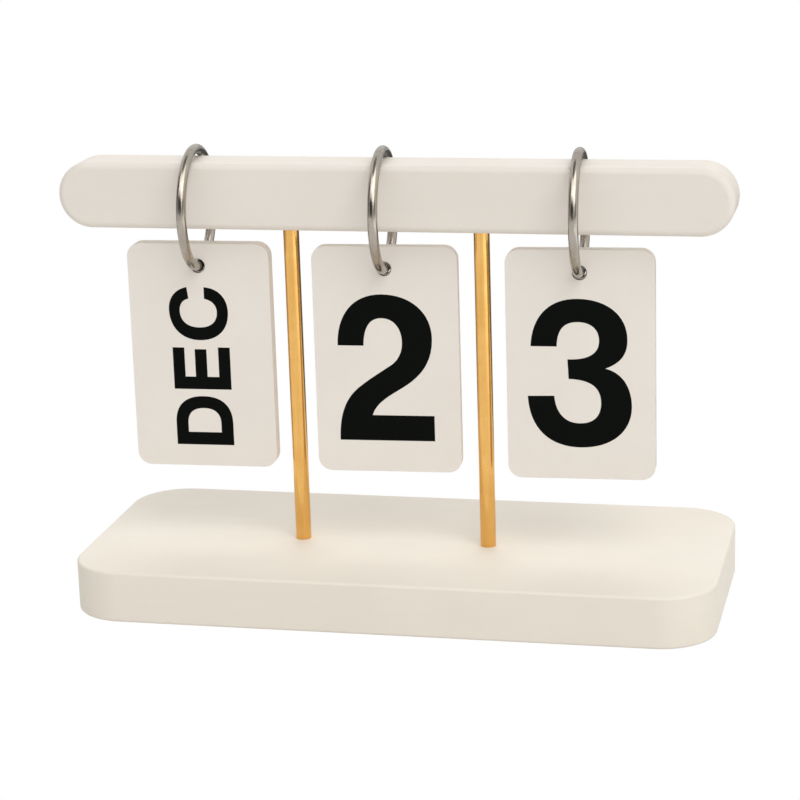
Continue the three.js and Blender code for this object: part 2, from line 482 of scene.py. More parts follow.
def to_mesh(name: str, solid: Solid) -> bpy.types.Mesh:
    """Turns a solid into a mesh, and uses it up.

    Args:
        name: the mesh's name.
        solid: the solid.

    Returns:
        The mesh.
    """
    mesh = bpy.data.meshes.new(name)
    solid.to_mesh(mesh)
    solid.free()
    return mesh


def rectangle(name: str, width: float, height: float) -> bpy.types.Mesh:
    """A flat sheet on the XY plane, its middle at the origin.

    Args:
        name: the mesh's name.
        width: its length along X.
        height: its length along Y.

    Returns:
        The mesh.
    """
    sheet = bmesh.new()
    size = Matrix.Diagonal((width, height, 1, 1))
    bmesh.ops.create_grid(sheet, x_segments=1, y_segments=1, size=0.5, matrix=size)
    return to_mesh(name, sheet)


def drum(
    radius: float, low: float, high: float, rim: float = 0.0, facets: int = SOCKET_FACETS
) -> Solid:
    """An upright cylinder on the Z axis.

    Args:
        radius: its radius.
        low: the height of its lower end.
        high: the height of its upper end.
        rim: the radius of its rounded ends, 0 for sharp ones.
        facets: its facets.

    Returns:
        The solid.
    """
    body = bmesh.new()
    bmesh.ops.create_cone(
        body,
        cap_ends=True,
        segments=facets,
        radius1=radius,
        radius2=radius,
        depth=high - low,
        matrix=Matrix.Translation((0, 0, (low + high) / 2)),
    )
    if rim:
        ends = [e for e in body.edges if abs(e.verts[0].co.z - e.verts[1].co.z) < LEVEL_TOLERANCE]
        round_edges(body, ends, Round(rim, RIM_FACETS))
    return body


def round_edges(body: Solid, edges: list[bmesh.types.BMEdge], shape: Round) -> None:
    """Rounds some edges of a solid.

    Args:
        body: the solid.
        edges: its edges to round.
        shape: how they are rounded.
    """
    bmesh.ops.bevel(
        body,
        geom=edges,
        offset=shape.radius,
        offset_type="OFFSET",
        segments=shape.facets,
        profile=0.5,
        affect="EDGES",
        material=-1,
    )
    bmesh.ops.remove_doubles(body, verts=body.verts, dist=MERGE_DISTANCE)
    bmesh.ops.dissolve_degenerate(body, edges=body.edges, dist=MERGE_DISTANCE)


def plate(size: Vector, corner: Round, rim: Round, holes: tuple[Solid, ...] = ()) -> Solid:
    """A flat plate with round corners and rounded rims, its thickness along Y.

    Args:
        size: width, thickness and height, round the origin.
        corner: its corners.
        rim: both of its rims.
        holes: solids that are cut out before the rims are rounded.

    Returns:
        The solid.
    """
    body = bmesh.new()
    bmesh.ops.create_cube(body, size=1.0, matrix=Matrix.Diagonal((*size, 1)))
    across = [e for e in body.edges if abs(e.verts[0].co.y - e.verts[1].co.y) > size.y / 2]
    round_edges(body, across, corner)
    for hole in holes:
        body = combine(body, hole, Joining.CUT)
    faces = [f for f in body.faces if abs(f.normal.y) > FLAT_NORMAL]
    rims = {
        e
        for f in faces
        for e in f.edges
        if any(abs(g.normal.y) < WALL_NORMAL for g in e.link_faces)
    }
    round_edges(body, list(rims), rim)
    return body


def combine(body: Solid, tool: Solid, joining: Joining) -> Solid:
    """Cuts one solid with another, or joins them. Both are used up.

    Args:
        body: the solid.
        tool: the other solid.
        joining: how they are put together.

    Returns:
        The new solid.
    """
    pair = []
    for part in (body, tool):
        part.transform(Matrix.Scale(1 / MM, 4))
        pair.append(linked("blank", to_mesh("blank", part)))
    modifier = pair[0].modifiers.new("joining", "BOOLEAN")
    modifier.solver = "EXACT"
    modifier.operation = joining.value
    modifier.object = pair[1]
    evaluated = pair[0].evaluated_get(bpy.context.evaluated_depsgraph_get())
    result = bmesh.new()
    result.from_mesh(evaluated.to_mesh())
    evaluated.to_mesh_clear()
    for used in pair:
        mesh = used.data
        bpy.data.objects.remove(used)
        bpy.data.meshes.remove(mesh)
    result.transform(Matrix.Scale(MM, 4))
    return result


class Shop:
    """Turns solids into pieces of the object, each with one finish and one CAD body."""

    def __init__(self) -> None:
        """Starts with no materials and no pieces."""
        self.materials: dict[str, bpy.types.Material] = {}
        self.count = 0

    def material(self, finish: Finish) -> bpy.types.Material:
        """The material of a finish, made once.

        Args:
            finish: the finish.

        Returns:
            Its material.
        """
        if finish.name not in self.materials:
            self.materials[finish.name] = finish.build()
        return self.materials[finish.name]

    def dress(
        self, name: str, mesh: bpy.types.Mesh, finish: Finish, body: str, node: str | None = None
    ) -> None:
        """Makes one piece from a mesh that is in place.

        Args:
            name: the piece's name.
            mesh: its mesh, in the shared frame.
            finish: its finish.
            body: the CAD body that it rides on.
            node: the CAD node that it stands for, if any.
        """
        mesh.materials.clear()
        mesh.materials.append(self.material(finish))
        mesh.shade_smooth()
        mesh.set_sharp_from_angle(angle=SHARP_ANGLE)
        piece = linked(name, mesh)
        normals = piece.modifiers.new("normals", "WEIGHTED_NORMAL")
        normals.keep_sharp = True
        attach(piece, body)
        if node:
            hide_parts(node)
        self.count += 1
        LOG.info("%s: %s, on %s", name, finish.name, body)

    def piece(
        self,
        name: str,
        solid: Solid,
        place: Matrix,
        finish: Finish,
        body: str,
        is_node: bool = True,
    ) -> None:
        """Makes a piece from a solid.

        Args:
            name: the CAD node that it stands for, or else the piece's own name.
            solid: its shape, which is used up.
            place: where it goes in the shared frame.
            finish: its finish.
            body: the CAD body that it rides on.
            is_node: whether it stands for a CAD node.
        """
        solid.transform(place)
        bmesh.ops.recalc_face_normals(solid, faces=solid.faces)
        full_name = f"{name}_look" if is_node else name
        mesh = to_mesh(full_name, solid)
        self.dress(full_name, mesh, finish, body, name if is_node else None)


def middle_of(node: str) -> tuple[Vector, Vector]:
    """Where a CAD node is.

    Args:
        node: its name.

    Returns:
        The middle of its box, and the box's size.
    """
    low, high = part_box(node)
    return (low + high) / 2, high - low


# ---- sub-assemblies ----


@dataclass(frozen=True)
class Stand:
    """The slab, the crossbar, the posts and what holds them from below.

    A play is a gap all round, and a rim the radius of a rounded edge.
    """

    body: str = "stand"
    slab_corner: Round = Round(19 * MM, 24)
    slab_rim: Round = Round(1.0 * MM, 5)
    bar_end_facets: int = 24
    bar_rim: Round = Round(2.4 * MM, 7)
    socket_depth: float = 7 * MM
    socket_play: float = 0.04 * MM
    post_facets: int = 72
    post_rim: float = 0.4 * MM
    post_bore: float = 9.8 * MM
    post_top_gap: float = 0.1 * MM
    hole_play: float = 0.3 * MM
    counterbore_depth: float = 4 * MM
    washer_rim: float = 0.1 * MM
    washer_bore: float = 1.0 * MM
    screw_radius: float = 1.5 * MM
    screw_tip_rim: float = 0.2 * MM
    screw_head_radius: float = 2.8 * MM
    screw_head: float = 2.2 * MM
    screw_head_rim: float = 0.25 * MM
    screw_drive_radius: float = 1.44 * MM
    screw_drive_sides: int = 6
    screw_drive_depth: float = 1.3 * MM
    pad_rim: float = 0.3 * MM
    pad_recess: float = 0.8 * MM

    def build(self, shop: Shop) -> None:
        """Makes all pieces of the stand.

        Args:
            shop: makes the pieces.
        """
        self._slab(shop)
        self._bar(shop)
        for side in SIDES:
            post, washer = f"post_{side}", f"post_washer_{side}"
            self._round(shop, post, BRASS, self.post_rim, self.post_facets, self.post_bore)
            self._round(shop, washer, ZINC, self.washer_rim, bore=self.washer_bore)
            self._screw(shop, side)
        for corner in CORNERS:
            self._round(shop, f"foot_pad_{corner}", PAD, self.pad_rim)

    def _slab(self, shop: Shop) -> None:
        """Makes the slab, with its sockets, screw holes, counterbores and pad recesses.

        Args:
            shop: makes the pieces.
        """
        middle, size = middle_of("base_slab")
        solid = plate(Vector((size.x, size.z, size.y)), self.slab_corner, self.slab_rim)
        solid.transform(Matrix.Rotation(QUARTER_TURN, 4, "X"))
        top, bottom = size.z / 2, -size.z / 2
        floor = top - self.socket_depth
        counterbore = bottom + self.counterbore_depth
        for side in SIDES:
            post, post_size = middle_of(f"post_{side}")
            washer_radius = middle_of(f"post_washer_{side}")[1].x / 2 + self.hole_play
            bore_radius = self.screw_radius + self.hole_play
            for hole in (
                drum(post_size.x / 2 + self.socket_play, floor, top + OVERRUN),
                drum(bore_radius, bottom, floor + OVERRUN, facets=BORE_FACETS),
                drum(washer_radius, bottom - OVERRUN, counterbore, facets=DISC_FACETS),
            ):
                solid = self._drilled(solid, hole, post - middle)
        for corner in CORNERS:
            pad, pad_size = middle_of(f"foot_pad_{corner}")
            radius = pad_size.x / 2 + self.hole_play
            recess = drum(radius, bottom - OVERRUN, bottom + self.pad_recess, facets=DISC_FACETS)
            solid = self._drilled(solid, recess, pad - middle)
        shop.piece("base_slab", solid, Matrix.Translation(middle), LACQUER, self.body)

    def _bar(self, shop: Shop) -> None:
        """Makes the crossbar, with a socket from below for each post.

        Args:
            shop: makes the pieces.
        """
        middle, size = middle_of("crossbar")
        solid = plate(size, Round(size.z / 2, self.bar_end_facets), self.bar_rim)
        for side in SIDES:
            post, post_size = middle_of(f"post_{side}")
            top = post.z + post_size.z / 2 - middle.z + self.post_top_gap
            hole = drum(post_size.x / 2 + self.socket_play, -size.z / 2 - OVERRUN, top)
            solid = self._drilled(solid, hole, post - middle)
        shop.piece("crossbar", solid, Matrix.Translation(middle), BAR_LACQUER_PAINTED_SHADE, self.body)

    @staticmethod
    def _drilled(solid: Solid, hole: Solid, offset: Vector) -> Solid:
        """Cuts an upright hole. Both solids are used up.

        Args:
            solid: the solid.
            hole: the hole's shape.
            offset: the hole's place from the solid's middle, of which the height isn't used.

        Returns:
            The solid with the hole.
        """
        hole.transform(Matrix.Translation((offset.x, offset.y, 0)))
        return combine(solid, hole, Joining.CUT)

    def _round(
        self,
        shop: Shop,
        node: str,
        finish: Finish,
        rim: float,
        facets: int = DISC_FACETS,
        bore: float = 0.0,
    ) -> None:
        """Makes an upright round piece as large as its CAD node.

        Args:
            shop: makes the piece.
            node: the CAD node.
            finish: its finish.
            rim: the radius of its rounded ends.
            facets: its facets.
            bore: how far the screw's bore goes up from below, 0 for none.
        """
        middle, size = middle_of(node)
        foot = -size.z / 2
        solid = drum(size.x / 2, foot, -foot, rim, facets)
        if bore:
            radius = self.screw_radius + self.hole_play
            hole = drum(radius, foot - OVERRUN, foot + bore, facets=BORE_FACETS)
            solid = combine(solid, hole, Joining.CUT)
        shop.piece(node, solid, Matrix.Translation(middle), finish, self.body)

    def _screw(self, shop: Shop, side: str) -> None:
        """Makes a screw that hangs by its head, with a six-sided drive from below.

        Args:
            shop: makes the pieces.
            side: which of the two.
        """
        node = f"post_screw_{side}"
        middle, size = middle_of(node)
        low, high = -size.z / 2, size.z / 2
        head_top, root = low + self.screw_head, low + self.screw_head / 2
        head = drum(self.screw_head_radius, low, head_top, self.screw_head_rim, DISC_FACETS)
        shank = drum(self.screw_radius, root, high, self.screw_tip_rim, BORE_FACETS)
        radius, drive_top = self.screw_drive_radius, low + self.screw_drive_depth
        drive = drum(radius, low - OVERRUN, drive_top, facets=self.screw_drive_sides)
        solid = combine(combine(head, shank, Joining.JOIN), drive, Joining.CUT)
        shop.piece(node, solid, Matrix.Translation(middle), ZINC, self.body)


@dataclass(frozen=True)
class Ring:
    """A hinged ring: angles start at its top and grow over the front, down and round behind."""

    pack: str
    place: Matrix
    hinge_angle: float
    radius: float = 20.15 * MM
    wire_radius: float = 1.70 * MM
    wire_facets: int = 28
    wire_steps: int = 72
    wires_past_hinge: float = 1.5
    hinge_gap: float = 0.2 * MM
    eye_radius: float = 1.85 * MM
    eye_room: float = 2.15 * MM
    pin_radius: float = 0.6 * MM
    pin_reach: float = 1.45 * MM
    pin_overlap: float = 0.1 * MM
    pin_play: float = 0.12 * MM
    pin_head_radius: float = 0.95 * MM
    pin_head_height: float = 0.4 * MM
    pin_head_rim: float = 0.18 * MM
    pin_head_play: float = 0.06 * MM
    snap_gap: float = 0.1 * MM
    peg_radius: float = 0.8 * MM
    peg_length: float = 2 * MM
    peg_rim: float = 0.2 * MM
    peg_play: float = 0.3 * MM

    def build(self, shop: Shop) -> None:
        """Makes the ring's two halves and its pin.

        Args:
            shop: makes the pieces.
        """
        snap = self.hinge_angle - math.pi
        gap = self.snap_gap / 2 / self.radius
        past = self.wires_past_hinge * self.wire_radius / self.radius
        ring, gate = f"{self.pack}_ring", f"{self.pack}_ring_gate"
        front = self._half(snap + gap, self.hinge_angle + past, Side.FRONT)
        peg = self._along(snap, self.peg_radius, -self.peg_length, self.peg_length, self.peg_rim)
        front = combine(front, peg, Joining.JOIN)
        shop.piece(f"{self.pack}_ring_front_half", front, self.place, NICKEL, ring)
        rear = self._half(self.hinge_angle - past, snap + 2 * math.pi - gap, Side.BACK)
        depth = self.peg_length + self.peg_play
        socket = self._along(snap, self.peg_radius + self.peg_play, -depth, OVERRUN)
        rear = combine(rear, socket, Joining.CUT)
        shop.piece(f"{self.pack}_ring_rear_half", rear, self.place, NICKEL, gate)
        shop.piece(f"{self.pack}_ring_hinge_pin", self._pin(), self.place, NICKEL, ring)

    def _at(self, angle: float) -> Vector:
        """The wire's middle at an angle of the ring, from the ring's centre."""
        return Vector((0, -math.sin(angle), math.cos(angle))) * self.radius

    def _disc(self, radius: float, start: float, end: float, rim: float = 0.0) -> Solid:
        """A disc about the hinge's axis.

        Args:
            radius: its radius.
            start: the place of its one face across the ring.
            end: the place of its other face, on either side of the first.
            rim: the radius of its rounded ends, 0 for sharp ones.

        Returns:
            The solid.
        """
        solid = drum(radius, min(start, end), max(start, end), rim, DISC_FACETS)
        turn = Matrix.Rotation(QUARTER_TURN, 4, "Y")
        solid.transform(Matrix.Translation(self._at(self.hinge_angle)) @ turn)
        return solid

    def _along(
        self, angle: float, radius: float, start: float, end: float, rim: float = 0.0
    ) -> Solid:
        """A straight rod along the wire.

        Args:
            angle: the ring's angle that the rod is measured from.
            radius: its radius.
            start: the place of its one end ahead of that angle.
            end: the place of its other end, on either side of the first.
            rim: the radius of its rounded ends, 0 for sharp ones.

        Returns:
            The solid.
        """
        solid = drum(radius, min(start, end), max(start, end), rim, BORE_FACETS)
        solid.transform(self._across(angle))
        return solid

    def _across(self, angle: float) -> Matrix:
        """The wire's section plane at an angle of the ring."""
        turn = Matrix.Rotation(angle + QUARTER_TURN, 4, "X")
        return Matrix.Translation(self._at(angle)) @ turn

    def _half(self, start: float, end: float, side: Side) -> Solid:
        """Half a ring. Its wire runs past the hinge and is rounded there to an eye for the pin.

        Args:
            start: the angle where the wire starts.
            end: the angle where it ends.
            side: the side of the hinge that its eye is on.

        Returns:
            The solid.
        """
        solid = bmesh.new()
        face = self._across(start)
        bmesh.ops.create_circle(
            solid, cap_ends=False, segments=self.wire_facets, radius=self.wire_radius, matrix=face
        )
        bmesh.ops.spin(
            solid,
            geom=solid.edges[:],
            cent=(0, 0, 0),
            axis=(1, 0, 0),
            angle=end - start,
            steps=self.wire_steps,
            use_duplicate=False,
        )
        bmesh.ops.holes_fill(solid, edges=[e for e in solid.edges if e.is_boundary], sides=0)
        bmesh.ops.recalc_face_normals(solid, faces=solid.faces)
        beyond = side.value * 2 * self.wire_radius
        tail = self._along(self.hinge_angle, 2 * self.wire_radius, 0.0, -beyond)
        tail = combine(tail, self._disc(self.eye_radius, -beyond, beyond), Joining.CUT)
        inner = side.value * self.hinge_gap / 2
        seat = side.value * (self.pin_reach - self.pin_head_height - self.pin_head_play)
        for tool in (
            tail,
            self._disc(self.eye_room, inner, -beyond),
            self._disc(self.pin_radius + self.pin_play, -beyond, beyond),
            self._disc(self.pin_head_radius + self.pin_head_play, seat, beyond),
        ):
            solid = combine(solid, tool, Joining.CUT)
        return solid

    def _pin(self) -> Solid:
        """The hinge's pin with a head at each end.

        Returns:
            The solid.
        """
        reach = self.pin_reach - self.pin_overlap
        solid = self._disc(self.pin_radius, -reach, reach)
        for side in Side:
            inner = side.value * (self.pin_reach - self.pin_head_height)
            outer = side.value * self.pin_reach
            head = self._disc(self.pin_head_radius, inner, outer, self.pin_head_rim)
            solid = combine(solid, head, Joining.JOIN)
        return solid


@dataclass(frozen=True)
class Glyph:
    """A character's outline: loops of corner points and curves in its own units, baseline at 0.

    A loop is text of points "x,y". A point after "C" ends a curve, whose two handles come first.
    """

    width: float
    height: float
    loops: tuple[str, ...]

    def spline_points(self, loop: str) -> list[list[Vector]]:
        """Reads one loop.

        Args:
            loop: the loop's text.

        Returns:
            For each point its left handle, its place and its right handle.
        """
        points: list[list[Vector]] = []
        words = iter(loop.split())
        for word in words:
            if word == "C":
                leave, arrive, end = (self._read(next(words)) for _ in range(3))
                points[-1][2] = leave
                points.append([arrive, end, end])
            else:
                points.append([self._read(word)] * 3)
        if (points[-1][1] - points[0][1]).length < MERGE_DISTANCE:
            points[0][0] = points.pop()[0]
        return points

    @staticmethod
    def _read(word: str) -> Vector:
        """The point that a word of a loop stands for."""
        x, y = word.split(",")
        return Vector((float(x), float(y), 0))


GLYPHS = {
    "1": Glyph(65, 149, ("36,0 36,104 6,104 6,121 C 28,122 39,131 43,149 65,149 65,0",)),
    "2": Glyph(96, 149, (
        "0.5,97 C 0.5,128 17,149 46,149 C 75,149 95,131 95,105 C 95,78 80,64 62,53 C 48,44.5 "
        "37,37.5 33.5,26 95.5,26 95.5,0 0,0 C 0,27 7,44 22,55.5 C 33,64.5 45,71.5 55,78.5 C "
        "62,84.5 65,92 65,101 C 65,115.5 57,125 45,125 C 33,125 27,115 26.5,97",
    )),
    "3": Glyph(104, 152, (
        "4,103.5 C 5.5,133 22,152 51,152 C 80,152 100,136 100,111 C 100,95 92,87 78,81.5 C "
        "94,78 104,63.5 104,43 C 104,17.5 84,0 53,0 C 22,0 2,18 0.5,52.5 27,53 C 28,36 37,25 "
        "52,25 C 66,25 73.5,32.5 73.5,46.5 C 73.5,62.5 63,70 41.5,70.5 40.5,90.5 C 62,90 72,97 "
        "72,110 C 72,121.5 64,128.5 51,128.5 C 36,128.5 30.5,119 30,103.5",
    )),
    "0": Glyph(104, 152, (
        "52,152 C 86,152 104,125 104,76 C 104,27 86,0 52,0 C 18,0 0,27 0,76 C 0,125 18,152 "
        "52,152",
        "52,127 C 68,127 74,110 74,76 C 74,42 68,25 52,25 C 36,25 30,42 30,76 C 30,110 36,127 "
        "52,127",
    )),
    "8": Glyph(104, 152, (
        "52,152 C 82,152 99,136 99,112 C 99,97 91,87 78,80 C 95,74 104,62 104,43 C 104,17 84,0 "
        "52,0 C 20,0 0,17 0,43 C 0,62 9,74 26,80 C 13,87 5,97 5,112 C 5,136 22,152 52,152",
        "52,129 C 65,129 71,121 71,110 C 71,98 64,91 52,91 C 40,91 33,98 33,110 C 33,121 39,129 "
        "52,129",
        "52,69 C 67,69 74,60 74,46 C 74,32 66,23 52,23 C 38,23 30,32 30,46 C 30,60 37,69 52,69",
    )),
    "D": Glyph(49, 57, (
        "0,0 0,57 22,57 C 40,57 49,46.5 49,28.5 C 49,10.5 40,0 22,0",
        "12.7,12 22,12 C 32,12 37,18 37,28.5 C 37,39 32,45 22,45 12.7,45",
    )),
    "E": Glyph(42, 57, (
        "0,0 0,57 41.5,57 41.5,45.3 12.5,45.3 12.5,35 40,35 40,23.3 12.5,23.3 12.5,11.7 42,11.7 "
        "42,0",
    )),
    "F": Glyph(38, 57, (
        "0,0 0,57 38,57 38,45.3 12.5,45.3 12.5,34 35,34 35,22.3 12.5,22.3 12.5,0",
    )),
    "C": Glyph(52.5, 58.5, (
        "52.5,40 C 50,51.5 42,58.5 30,58.5 C 12,58.5 0,47 0,29 C 0,11 11,0 28,0 C 42,0 51.5,8.5 "
        "52.5,23 41,23 C 39.5,15 34.5,11 28,11 C 18,11 12.7,18 12.7,29 C 12.7,41 19,47.8 "
        "29,47.8 C 36,47.8 40,44 41,38.5",
    )),
    "B": Glyph(45, 57, (
        "0,0 0,57 26,57 C 37,57 43,51 43,42.5 C 43,36.5 40,32 35,30 C 41.5,28 45,23 45,16.5 C "
        "45,6 38,0 26.5,0",
        "12.5,11 24,11 C 30,11 33,13.5 33,17.5 C 33,22 30,24 24,24 12.5,24",
        "12.5,34 23,34 C 28,34 31,36 31,40 C 31,44 28,46 23,46 12.5,46",
    )),
    "A": Glyph(47, 57, (
        "0,0 17,57 30,57 47,0 35,0 31.6,11.5 15.4,11.5 12,0",
        "18.7,22 28.3,22 23.5,39",
    )),
    "J": Glyph(34, 57, (
        "21.8,57 34,57 34,19 C 34,6.5 27,0 16.5,0 C 6,0 0,6.5 0,19 0,21.5 11.8,21.5 11.8,18.5 C "
        "11.8,13.5 13.3,11 16.8,11 C 20.3,11 21.8,13.5 21.8,18.5",
    )),
    "M": Glyph(50, 57, (
        "0,0 0,57 15.5,57 25,22 34.5,57 50,57 50,0 39,0 39,41 29.5,0 20.5,0 11,41 11,0",
    )),
    "N": Glyph(46, 57, ("0,0 0,57 12.5,57 34,22 34,57 46,57 46,0 33.5,0 12,35.5 12,0",)),
    "Y": Glyph(46, 57, ("17,0 17,22 0,57 13.5,57 23,35 32.5,57 46,57 29,22 29,0",)),
}


@dataclass(frozen=True)
class Lettering:
    """A digit or word in solid print for one face of a card."""

    text: str
    cap_height: float
    top_margin: float
    upright: bool = True
    shift: float = 0.0
    spacing: float = 7.0
    thickness: float = 0.02 * MM
    curve_steps: int = 16

    def mesh(self, name: str, card_height: float) -> bpy.types.Mesh:
        """The print's mesh on the XZ plane, facing -Y, round the card's middle.

        Args:
            name: the mesh's name.
            card_height: the card's height.

        Returns:
            The mesh.
        """
        curve = bpy.data.curves.new(name, "CURVE")
        curve.dimensions = "2D"
        curve.fill_mode = "BOTH"
        curve.resolution_u = self.curve_steps
        curve.extrude = self.thickness / 2
        scale = self.cap_height / GLYPHS[self.text[0]].height
        pen = 0.0
        for letter in self.text:
            glyph = GLYPHS[letter]
            for loop in glyph.loops:
                self._add(curve, glyph.spline_points(loop), pen, scale)
            pen += glyph.width + self.spacing
        length = (pen - self.spacing) * scale
        holder = bpy.data.objects.new(name, curve)
        mesh = bpy.data.meshes.new_from_object(holder)
        bpy.data.objects.remove(holder)
        mesh.name = name
        middle = Matrix.Translation((-length / 2, -self.cap_height / 2, 0))
        turn = Matrix.Rotation(0.0 if self.upright else QUARTER_TURN, 4, "Z")
        tall = self.cap_height if self.upright else length
        lift = Matrix.Translation((self.shift, 0, card_height / 2 - self.top_margin - tall / 2))
        mesh.transform(lift @ Matrix.Rotation(QUARTER_TURN, 4, "X") @ turn @ middle)
        return mesh

    @staticmethod
    def _add(curve: bpy.types.Curve, points: list[list[Vector]], pen: float, scale: float) -> None:
        """Adds one closed loop to the print's curve.

        Args:
            curve: the curve.
            points: the loop's points with their handles, in the glyph's units.
            pen: where the glyph starts, in its units.
            scale: metres in one of its units.
        """
        spline = curve.splines.new("BEZIER")
        spline.bezier_points.add(len(points) - 1)
        spline.use_cyclic_u = True
        shift = Vector((pen, 0, 0))
        for made, (arrive, place, leave) in zip(spline.bezier_points, points):
            made.handle_left_type = made.handle_right_type = "FREE"
            made.handle_left = (arrive + shift) * scale
            made.co = (place + shift) * scale
            made.handle_right = (leave + shift) * scale


DIGIT_HEIGHT = 52.0 * MM
DIGIT_DROP = 16.8 * MM
DIGIT_SHIFT = -0.5 * MM
WORD_HEIGHT = 20.6 * MM
WORD_DROP = 15.4 * MM
WORD_SHIFT = -0.3 * MM


def digit(text: str) -> Lettering:
    """A large upright digit."""
    return Lettering(text, DIGIT_HEIGHT, DIGIT_DROP, shift=DIGIT_SHIFT)


def word(text: str) -> Lettering:
    """A short word that reads upwards."""
    return Lettering(text, WORD_HEIGHT, WORD_DROP, upright=False, shift=WORD_SHIFT)


@dataclass(frozen=True)
class Pack:
    """A ring with its cards, and the print on the faces that can be seen.

    The cards behind the front one have a narrower hole, so that no bright ground shows past the
    wire. Each hole has a thin dark ring inside it, which is painted shade for the shade in the
    hole.
    """

    name: str
    cards: int
    prints: dict[tuple[int, Side], Lettering]
    width: float = 50.5 * MM
    thickness: float = 0.8 * MM
    corner: Round = Round(4.8 * MM, 12)
    rim: Round = Round(0.16 * MM, 2)
    front_hole_radius: float = 2.5 * MM
    front_hole_drop: float = 7.85 * MM
    stack_hole_radius: float = 2.14 * MM
    stack_hole_drop: float = 7.81 * MM
    # A thin dark ring in each hole: painted shade, no part of the card
    shade_ring_width: float = 0.06 * MM
    shade_ring_play: float = 0.01 * MM

    def build(self, shop: Shop) -> None:
        """Makes the ring, the cards and their print.

        Args:
            shop: makes the pieces.
        """
        joints = {joint["name"]: joint for joint in frame["joints"]}
        turn = joints[f"{self.name}_card_turn"]
        yaw = math.atan2(-turn["axis"][1], -turn["axis"][0])
        facing = Matrix.Rotation(yaw, 4, "Z")
        centre = Vector(turn["pos_m"])
        opens = Vector(joints[f"{self.name}_ring_opens"]["pos_m"])
        hinge = facing.inverted() @ (opens - centre)
        hinge_angle = math.atan2(-hinge.y, hinge.z)
        Ring(self.name, Matrix.Translation(centre) @ facing, hinge_angle).build(shop)
        for number in range(1, self.cards + 1):
            self._card(shop, number, facing)

    def _card(self, shop: Shop, number: int, facing: Matrix) -> None:
        """Makes a card, the painted shade ring in its hole, and its print.

        Args:
            shop: makes the pieces.
            number: the card's number, 1 for the front one.
            facing: how the pack is turned about the vertical.
        """
        node = f"{self.name}_card_{number}"
        body = f"{self.name}_front_card"
        radius, drop = self.front_hole_radius, self.front_hole_drop
        if number > 1:
            body = f"{self.name}_card_stack"
            radius, drop = self.stack_hole_radius, self.stack_hole_drop
        middle, size = middle_of(node)
        place = Matrix.Translation(middle) @ facing
        lift = Matrix.Translation((0, 0, size.z / 2 - drop))
        across = Matrix.Rotation(QUARTER_TURN, 4, "X")
        hole = drum(radius, -self.thickness, self.thickness, facets=DISC_FACETS)
        hole.transform(lift @ across)
        outline = Vector((self.width, self.thickness, size.z))
        sheet = plate(outline, self.corner, self.rim, (hole,))
        shop.piece(node, sheet, place, SHEET, body)
        # A thin near-black ring in the hole: painted shade, no part of the card
        name, there = f"{node}_hole_edge", place @ lift @ across
        shop.piece(name, self._painted_shade_ring(radius), there, HOLE_PAINTED_SHADE, body, is_node=False)
        for side in Side:
            lettering = self.prints.get((number, side))
            if lettering:
                name = f"{node}_print_{side.name.lower()}"
                mesh = lettering.mesh(name, size.z)
                out = Matrix.Translation((0, -(self.thickness + lettering.thickness) / 2, 0))
                turned = Matrix.Rotation(0.0 if side is Side.FRONT else math.pi, 4, "Z")
                mesh.transform(place @ turned @ out)
                shop.dress(name, mesh, INK, body)

    def _painted_shade_ring(self, radius: float) -> Solid:
        """The thin dark ring in a card's hole, which is painted shade for the shade inside the
        hole.

        Args:
            radius: the hole's radius.

        Returns:
            The solid, upright at the origin.
        """
        outer = radius - self.shade_ring_play
        reach = self.thickness / 2 - self.shade_ring_width
        solid = drum(outer, -reach, reach, facets=DISC_FACETS)
        hole = drum(outer - self.shade_ring_width, -OVERRUN, OVERRUN, facets=DISC_FACETS)
        return combine(solid, hole, Joining.CUT)


# ---- stage ----


@dataclass(frozen=True)
class Lamp:
    """A soft rectangular lamp that points at the object."""

    name: str
    place: Triple
    width: float
    height: float
    power: float
    colour: Triple = (1.0, 0.985, 0.96)
    aim: Triple = (0.0, 0.0, 0.08)

    def build(self) -> None:
        """Makes the lamp."""
        light = bpy.data.lights.new(self.name, "AREA")
        light.shape = "RECTANGLE"
        light.size, light.size_y = self.width, self.height
        light.energy = self.power
        light.color = self.colour
        lamp = linked(self.name, light)
        lamp.location = self.place
        ahead = Vector(self.aim) - Vector(self.place)
        lamp.rotation_euler = ahead.to_track_quat("-Z", "Y").to_euler()


@dataclass(frozen=True)
class Panel:
    """A plain panel that is seen in glossy surfaces and nowhere else."""

    name: str
    place: Triple
    width: float
    height: float
    glow: float
    lying: bool = False
    aim: Triple = (0.0, 0.0, 0.1)

    def build(self) -> None:
        """Makes the panel."""
        mesh = rectangle(self.name, self.width, self.height)
        material, graph = blank_material(self.name)
        inputs = {"Color": WHITE, "Strength": self.glow}
        surface = graph.node("ShaderNodeEmission", inputs)
        graph.node("ShaderNodeOutputMaterial", {"Surface": surface})
        mesh.materials.append(material)
        panel = linked(self.name, mesh)
        panel.location = self.place
        if not self.lying:
            ahead = Vector(self.aim) - Vector(self.place)
            panel.rotation_euler = ahead.to_track_quat("Z", "Y").to_euler()
        panel.visible_camera = panel.visible_transmission = False
        panel.visible_diffuse = panel.visible_shadow = False


